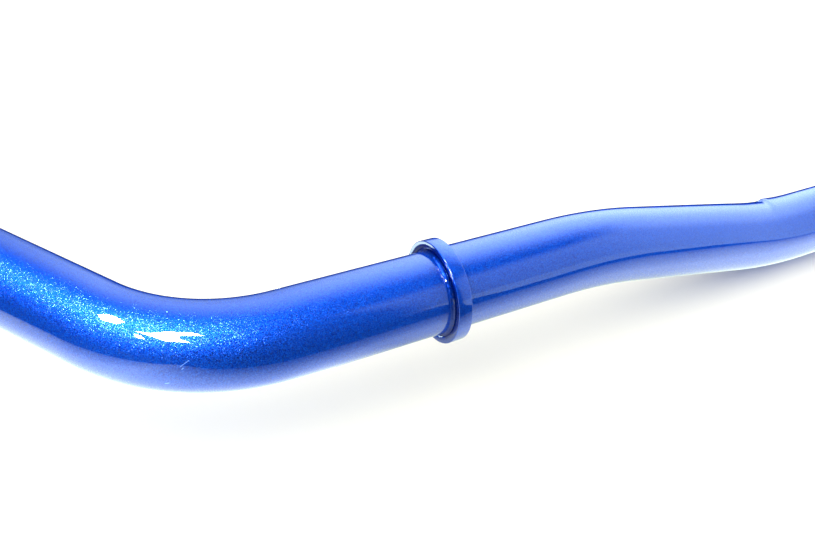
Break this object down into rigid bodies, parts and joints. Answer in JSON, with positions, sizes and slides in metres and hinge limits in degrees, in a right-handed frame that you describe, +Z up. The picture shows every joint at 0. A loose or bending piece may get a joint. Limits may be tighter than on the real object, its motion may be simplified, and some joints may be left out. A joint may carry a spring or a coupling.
{
  "type": "sway bar",
  "caption": "Bent tubular anti-roll bar with jogged centre, welded lateral-lock rings and slotted end plates with drop-link holes, in gloss blue.",
  "frame": {"origin": "on the floor under the middle of the bar's box, level with the lowest point of the centre section and of the plate tips", "axes": "+X across the car along the bar's length, +Y from the centre section towards the arm tips, +Z up"},
  "size_m": [1.0962, 0.3123, 0.0706],
  "materials": {
    "bar_paint": "gloss candy-blue metallic paint with fine flakes under a clear coat, over steel",
    "ring_paint": "gloss candy-blue metallic paint over steel",
    "weld_paint": "gloss candy-blue metallic paint over a rippled weld bead",
    "plate_paint": "gloss candy-blue metallic paint over flat steel plate",
    "cap_paint": "gloss candy-blue metallic paint over steel"
  },
  "bodies": {
    "root": {"bar_tube": "bar_paint", "left_lock_ring": "ring_paint", "right_lock_ring": "ring_paint", "left_ring_bead_outer": "weld_paint", "left_ring_bead_inner": "weld_paint", "right_ring_bead_outer": "weld_paint", "right_ring_bead_inner": "weld_paint", "left_end_plate": "plate_paint", "right_end_plate": "plate_paint", "left_seam_top_outer": "weld_paint", "left_seam_top_inner": "weld_paint", "left_seam_bottom_outer": "weld_paint", "left_seam_bottom_inner": "weld_paint", "right_seam_top_outer": "weld_paint", "right_seam_top_inner": "weld_paint", "right_seam_bottom_outer": "weld_paint", "right_seam_bottom_inner": "weld_paint", "left_end_cap_outer": "cap_paint", "left_end_cap_inner": "cap_paint", "right_end_cap_outer": "cap_paint", "right_end_cap_inner": "cap_paint"}
  },
  "joints": []
}
